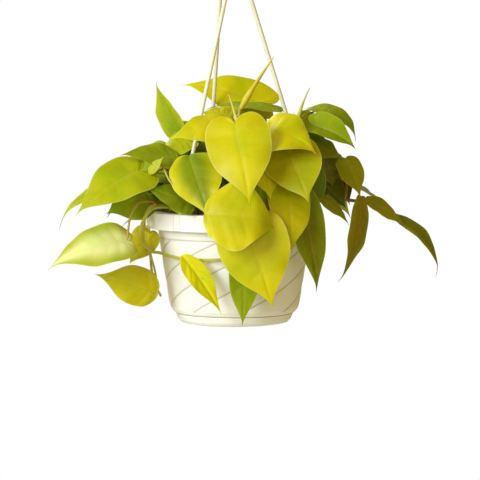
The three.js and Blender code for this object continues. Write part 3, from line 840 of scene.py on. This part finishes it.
root = pot["height"] - pot["lip"] - 8.8
vine("centre", [(0, -10, root), (2, -22, 120), (3, -30, 150), (4, -34, 178), (5, -34, 196)],
     [((5, -34, 192), (35, -30, 239), 3, (0.66, 0.55, 0.01), (-3, 0, -2)),
      ((4, -44, 176), (-5, -46, 206), 2.2, (0.7, 0.68, 0.2), (1, 0, 0))])
vine("left_crown", [(-30, -15, root), (-38, -18, 110), (-50, -20, 125), (-58, -24, 138)])
vine("right_crown", [(30, -15, root), (40, -20, 120), (50, -25, 150), (55, -30, 180)],
     [((55, -30, 178), (67, -32, 212), 2.2, (0.56, 0.56, 0.05), (-2, 0, 2)),
      ((53, -29.5, 171), (53, -31, 190), 1.3, (0.7, 0.66, 0.3))])
vine("left_trail", [(-40, -22, root), (-44, -26, 100), (-58, -36, 107), (-74, -40, 106), (-80, -39, 92),
                    (-80, -37, 75), (-75, -34, 64), (-74, -28, 52), (-72, -22, 38), (-66, -8, 24)],
     hue=(0.5, 0.42, 0.05), radius=1.4)
vine("front_trail", [(-46, -36, root), (-49, -40, 101), (-60, -48, 107), (-73, -50, 105),
                     (-82, -46, 90), (-82, -42, 80), (-75, -40, 68), (-66, -32, 65), (-49, -52, 62),
                     (-31, -62, 61), (-13, -69.5, 62), (4, -71, 62)],
     hue=(0.42, 0.42, 0.02), radius=1.6)
vine("right_trail", [(45, 0, root), (62, -5, 108), (90, -15, 112), (108, -12, 110), (118, -5, 108)],
     hue=(0.2, 0.13, 0.02))
vine("back_left", [(-20, 30, root), (-25, 38, 120), (-30, 42, 150), (-32, 45, 175)])
vine("back_right", [(20, 30, root), (26, 38, 120), (30, 42, 150), (28, 42, 178)])

# Front and crown
leaf("centre", 0.8, (1, -85, 181), (14, -106, 112), (0, -1, 0.25), 58, "lime", arch=0.05, cup=-0.1,
     edge="yellow")
leaf("back_right", 1, (27, 52, 196), (-49, 64, 213), (0, -0.75, 0.66), 44, "lime", arch=0.06)
leaf("back_right", 0.9, (35, 22, 192), (-26, 30, 192), (0, -0.15, 0.98), 36, "green",
     petioleHue=(0.1, 0.17, 0.002), arch=0.05, via=[(40, 38, 180), (46, 26, 184), (44, 20, 190)])
leaf("centre", 0.9, (-2, -14, 186), (-31, -8, 189), (-0.1, -0.45, 0.9), 34, "yellow")
leaf("centre", 0.85, (-5, -62, 177), (-57, -72, 168), (-0.1, -0.62, 0.78), 44, "lime", arch=0.08)
leaf("back_left", 0.5, (-47, 0, 166), (-69, -6, 217), (-0.7, -0.7, 0.1), 30, "green", fold=16,
     notch=0.4, edge="fresh", sway=-0.06)
leaf("left_crown", 0.9, (-83, -62, 140), (-138, -88, 103), (-0.25, -0.8, 0.55), 50, "fresh", arch=0.08)
leaf("left_crown", 0.8, (-97, -46, 137), (-158, -66, 98), (-0.2, -0.7, 0.7), 16, "fresh", tipBend=-0.2)
leaf("left_crown", 1, (-49, -42, 149), (-101, -62, 154), (0, -0.55, 0.83), 38, "green", arch=0.04,
     notch=0.5)
leaf("left_crown", 0.7, (-40, -21, 166), (-68, -29, 150), (-0.2, -0.6, 0.77), 30, "fresh")
leaf("left_crown", 0.5, (-47, -42.5, 136.5), (-63, -50.5, 114), (-0.1, -0.8, 0.4), 22, "dark")
leaf("left_crown", 0.45, (-77, -25, 118), (-114, -37, 100), (-0.2, -0.95, 0.25), 43, "green",
     notch=0.4, edge="shade")
leaf("left_crown", 0.72, (-37, -67, 110), (-79, -76, 126), (-0.1, -0.55, 0.82), 38, "green",
     notch=0.4, onTop=True, via=[(-66, -56, 148), (-61, -64, 140), (-56, -71, 131), (-44, -73, 119)])
leaf("centre", 0.5, (-39.5, -58, 153), (-20, -87, 96), (-0.15, -0.8, 0.5), 46, "shade", arch=0.1,
     notch=0.25, edge="lime")
leaf("centre", 0.15, (-26, -93, 104), (35, -94, 97), (0.1, -0.9, 0.42), 49, "yellow", arch=0.1,
     blunt=0.4, tipBend=-0.18, notch=0.15, edge="lime",
     via=[(-7, -60, 108), (-6, -82, 106), (-15, -90.5, 104.5)])
leaf("centre", 0.1, (12, -85, 92), (34, -90, 21), (0.1, -1, 0.1), 64, "lime",
     arch=0.05, via=[(5, -60, 108), (9, -76, 106), (11, -82, 101)])
leaf("front_trail", 1, (9, -74, 60), (7, -73, 3), (0.15, -1, 0.05), 28, "green", arch=0.04)
leaf("front_trail", 0.78, (-46, -68, 66), (-10, -73, 13), (0.35, -0.88, 0.3), 22, "bright", arch=0.06,
     fold=10, notch=0)
leaf("right_crown", 0.85, (28, -60, 175), (72, -73, 155), (0.2, -0.65, 0.72), 56, "bright",
     arch=0.14, edge="lime")
leaf("right_crown", 0.7, (47, -62, 158), (65, -90, 113), (0.1, -1, 0), 52, "ochre", arch=0.05)
leaf("centre", 0.35, (24, -50, 158), (32, -84, 115), (0.1, -1, 0.1), 40, "lime")
leaf("right_crown", 0.45, (47, -63, 126), (50, -83, 68), (0.4, -0.9, 0.05), 42, "yellow", arch=0.03)
# Painted shadow: this leaf's dark olive hue stands for the shade it hangs in
leaf("right_crown", 0.2, (60, -57, 112), (73, -68, 32), (0.5, -0.87, 0.05), 36, "shadowed", arch=0.04,
     edge="shade")
leaf("right_trail", 0.92, (113, -31, 115), (93, -44, 39), (0.78, -0.62, 0.1), 26, "brown",
     petioleHue=(0.35, 0.18, 0.02), arch=0.08, notch=0.2, edge="olive")
leaf("right_trail", 0.96, (118, -9, 112), (155, -7, 84.5), (0.4, -0.55, 0.75), 22, "olive",
     notch=0.2, arch=0.06)
# Painted shadow: this leaf's dark olive hue stands for the shade it hangs in
leaf("right_trail", 1, (140.5, 8.5, 97), (185, 4.5, 42), (0.5, -0.5, 0.7), 21, "shadowed", arch=0.18,
     notch=0.1, hook=0.08, edge="olive")
leaf("right_trail", 0.7, (99, -26, 149), (112, -38, 114), (0.5, -0.85, 0.1), 27, "olive",
     petioleHue=(0.42, 0.2, 0.03), notch=0.4)
# Painted shadow: this leaf's dark olive hue stands for the shade it hangs in
leaf("right_trail", 0.45, (82, -8, 149), (88, -16, 122), (0.2, -0.9, 0.3), 30, "shadowed")
leaf("right_crown", 0.8, (73, -22, 160), (96, -26, 149), (0.1, -0.7, 0.7), 24, "olive")
leaf("right_crown", 1, (71, -14, 193), (109, -18, 164), (0.35, -0.35, 0.87), 34, "green", arch=0.22)
leaf("right_crown", 0.95, (70, -37.5, 178.5), (108, -43.5, 157.5), (0.1, -0.7, 0.7), 32, "green",
     fold=20, arch=0.1, edge="green")
leaf("back_right", 0.9, (57, 14, 184), (70, 8, 158), (0.1, -0.9, 0.4), 30, "olive")
leaf("right_trail", 0.5, (75, -36, 117), (102, -50, 91), (0.55, -0.5, 0.7), 21, "olive",
     notch=0.3)
# Painted highlight: this leaf's whitish pale hue, greener towards the edge, stands for gloss highlights
leaf("left_trail", 0.3, (-93, -62, 78), (-164, -72, 54), (-0.2, -0.75, 0.62), 46, "paleHighlight",
     petioleHue=(0.5, 0.3, 0.02), arch=0.12, onTop=True, notch=0.6, edge="fresh",
     via=[(-71, -47, 111), (-83, -54, 111), (-91, -59, 99)])
leaf("left_trail", 0.62, (-68, -40, 31), (-124, -50, 48), (0.1, -0.95, 0.2), 36, "yellow", notch=0.15)
leaf("left_trail", 0.45, (-75, -27, 84), (-94, -28, 54), (-0.2, -0.97, 0.1), 27, "lime", onTop=True,
     notch=0.6, edge="yellow")

# Back
leaf("back_left", 0.6, (-52, 50, 132), (-92, 86, 96), (-0.4, 0.7, 0.6), 50, "green", arch=0.08)
leaf("back_left", 0.8, (2, 70, 146), (-2, 116, 104), (-0.1, 0.75, 0.65), 48, "lime", arch=0.08)
leaf("back_right", 0.6, (44, 60, 134), (58, 108, 94), (0.15, 0.75, 0.65), 48, "yellow", arch=0.08)
leaf("back_right", 0.5, (64, 34, 126), (108, 62, 90), (0.5, 0.6, 0.6), 48, "green", arch=0.08)
leaf("back_left", 0.4, (-65, 20, 122), (-118, 40, 92), (-0.6, 0.4, 0.7), 50, "fresh", arch=0.08)
leaf("back_left", 1, (-34, 56, 178), (-62, 96, 158), (-0.3, 0.6, 0.75), 46, "lime", arch=0.1)
leaf("back_right", 0.95, (12, 62, 172), (16, 104, 148), (0, 0.6, 0.8), 46, "fresh", arch=0.1)
leaf("back_left", 0.1, (-15, 84, 105), (-22, 94, 35), (-0.1, 1, 0.1), 52, "lime", arch=0.05)
leaf("back_right", 0.1, (35, 78, 106), (46, 88, 42), (0.3, 0.95, 0.1), 48, "yellow", arch=0.05)

# Smaller leaves inside the crown, behind those above
leaf("centre", 0.6, (-22, -4, 168), (-50, -12, 136), (-0.1, -0.8, 0.5), 46, "dark")
leaf("left_crown", 0.8, (-58, -10, 152), (-86, -18, 122), (-0.2, -0.8, 0.5), 42, "green")
leaf("left_crown", 0.6, (-50, -12, 126), (-84, -24, 108), (-0.1, -0.85, 0.45), 40, "dark")
leaf("left_crown", 0.95, (-75, -65, 137), (-61, -68, 153), (-0.4, -0.8, 0.3), 9, "fresh", notch=0)
leaf("left_crown", 0.4, (-30, -46, 128), (-58, -62, 104), (-0.1, -0.85, 0.45), 38, "dark")
leaf("centre", 0.4, (16, -30, 152), (14, -58, 104), (0.05, -0.95, 0.3), 52, "olive")
leaf("centre", 0.2, (22, -62, 124), (28, -80, 84), (0.1, -0.95, 0.3), 34, "olive")
leaf("centre", 0.3, (-8, -34, 140), (-14, -62, 98), (-0.05, -0.95, 0.3), 50, "dark")
leaf("right_crown", 0.3, (58, -34, 142), (72, -46, 96), (0.3, -0.9, 0.25), 42, "dark")
leaf("right_trail", 0.3, (78, -14, 128), (100, -22, 104), (0.3, -0.85, 0.4), 32, "deep")
leaf("right_crown", 0.6, (60, -22, 168), (78, -30, 132), (0.3, -0.85, 0.4), 38, "dark")
leaf("right_trail", 0.4, (88, 4, 134), (104, -6, 106), (0.3, -0.8, 0.5), 30, "deep")
leaf("right_crown", 0.5, (44, -8, 150), (50, -30, 108), (0.1, -0.9, 0.4), 46, "dark")
leaf("back_left", 0.7, (-40, 22, 160), (-72, 30, 128), (-0.6, 0.1, 0.78), 44, "green")
leaf("back_left", 0.3, (-44, 44, 112), (-78, 70, 82), (-0.5, 0.6, 0.6), 44, "dark")
leaf("back_left", 0.9, (-10, 40, 186), (-24, 84, 178), (-0.2, 0.3, 0.93), 42, "green")
leaf("back_right", 0.8, (50, 40, 168), (88, 66, 146), (0.4, 0.4, 0.82), 44, "fresh")
leaf("back_right", 0.3, (40, 48, 112), (72, 76, 78), (0.4, 0.75, 0.5), 44, "green")
leaf("back_right", 0.4, (60, 10, 140), (98, 24, 114), (0.5, 0.2, 0.84), 42, "green")
leaf("back_left", 0.2, (8, 62, 108), (10, 90, 64), (0, 0.95, 0.3), 46, "green")
leaf("back_right", 0.7, (4, 34, 160), (20, 74, 128), (0.1, 0.75, 0.65), 46, "dark")
leaf("back_left", 0.5, (-20, 60, 140), (-44, 96, 120), (-0.3, 0.7, 0.65), 42, "fresh")
leaf("left_crown", 0.2, (-62, 2, 112), (-104, 10, 84), (-0.6, -0.1, 0.78), 42, "green")
leaf("right_trail", 0.6, (96, 8, 128), (134, 20, 108), (0.4, 0.2, 0.88), 36, "olive")
leaf("centre", 0.5, (6, -6, 158), (34, 4, 152), (0.1, -0.2, 0.97), 40, "green")
leaf("centre", 0.6, (-2, 4, 160), (-30, 14, 152), (-0.1, 0, 0.99), 42, "fresh")
leaf("back_right", 0.8, (30, 28, 170), (44, 4, 160), (0.2, -0.3, 0.93), 38, "green")
leaf("back_left", 0.8, (-12, 34, 168), (4, 8, 158), (0.1, -0.3, 0.94), 38, "shade")
leaf("back_right", 0.6, (30, 34, 146), (58, 30, 136), (0.3, 0.1, 0.95), 42, "shade")
leaf("back_left", 0.6, (-30, 30, 146), (-58, 14, 136), (-0.3, 0, 0.95), 42, "green")
print("leaves made,", len(leafPieces))

finishVines()
print("vines made")


room = dict(floorDrop=1.1, floorRadius=2.5, floor=(0.8, 0.79, 0.76), floorRough=0.9, aimHeight=0.13,
            glow=(1, 0.78, 0.2), glowStrength=0.36, white=(1, 1, 1))
lights = dict(key=dict(place=(-1.9, -1.7, 0.6), size=1.8, power=80, color=(0.9, 0.96, 1)),
              front=dict(place=(0.5, -2.6, 0.5), size=1.5, power=12, color=(1, 0.92, 0.66)),
              back=dict(place=(-1.2, 1.6, 1.2), size=1.2, power=24, color=(1, 0.99, 0.96)))


def makeFloor():
    bpy.ops.mesh.primitive_circle_add(vertices=96, radius=room["floorRadius"], fill_type="NGON",
                                      location=(foot[0], foot[1], foot[2] - room["floorDrop"]))
    floor = bpy.context.active_object
    floor.name = "floor"
    material = bpy.data.materials.new("floorPaint")
    material.use_nodes = True
    tree = material.node_tree
    paint = {"Base Color": (*room["floor"], 1), "Roughness": room["floorRough"]}
    setInputs(tree, tree.nodes["Principled BSDF"], paint)
    floor.data.materials.append(material)


def addLight(name, aim, place, size, power, color):
    data = bpy.data.lights.new(name, "AREA")
    data.shape, data.size, data.energy, data.color = "DISK", size, power, color
    light = bpy.data.objects.new(name, data)
    bpy.context.scene.collection.objects.link(light)
    light.location = place
    toward = np.array(aim) - np.array(place)
    light.rotation_euler = (acos(-toward[2] / np.linalg.norm(toward)),
                            0, atan2(toward[1], toward[0]) - pi / 2)


# Three soft lights, and a room that glows warm but looks white
def makeLight():
    middle = (foot[0], foot[1], foot[2] + room["aimHeight"])
    for name, light in lights.items():
        addLight(name, middle, **light)
    world = bpy.data.worlds.new("room")
    bpy.context.scene.world = world
    world.use_nodes = True
    tree = world.node_tree
    background = tree.nodes["Background"]
    setInputs(tree, background, {"Color": (*room["glow"], 1), "Strength": room["glowStrength"]})
    white = node(tree, "Background", Color=(*room["white"], 1), Strength=1.0)
    seen = node(tree, "LightPath").outputs["Is Camera Ray"]
    mixed = node(tree, "MixShader", _0=seen, _1=background.outputs[0], _2=white.outputs[0])
    link(tree, mixed.outputs[0], tree.nodes["World Output"].inputs["Surface"])
    bpy.context.scene.view_settings.view_transform = "Standard"


makeFloor()
makeLight()
print("floor and light made")
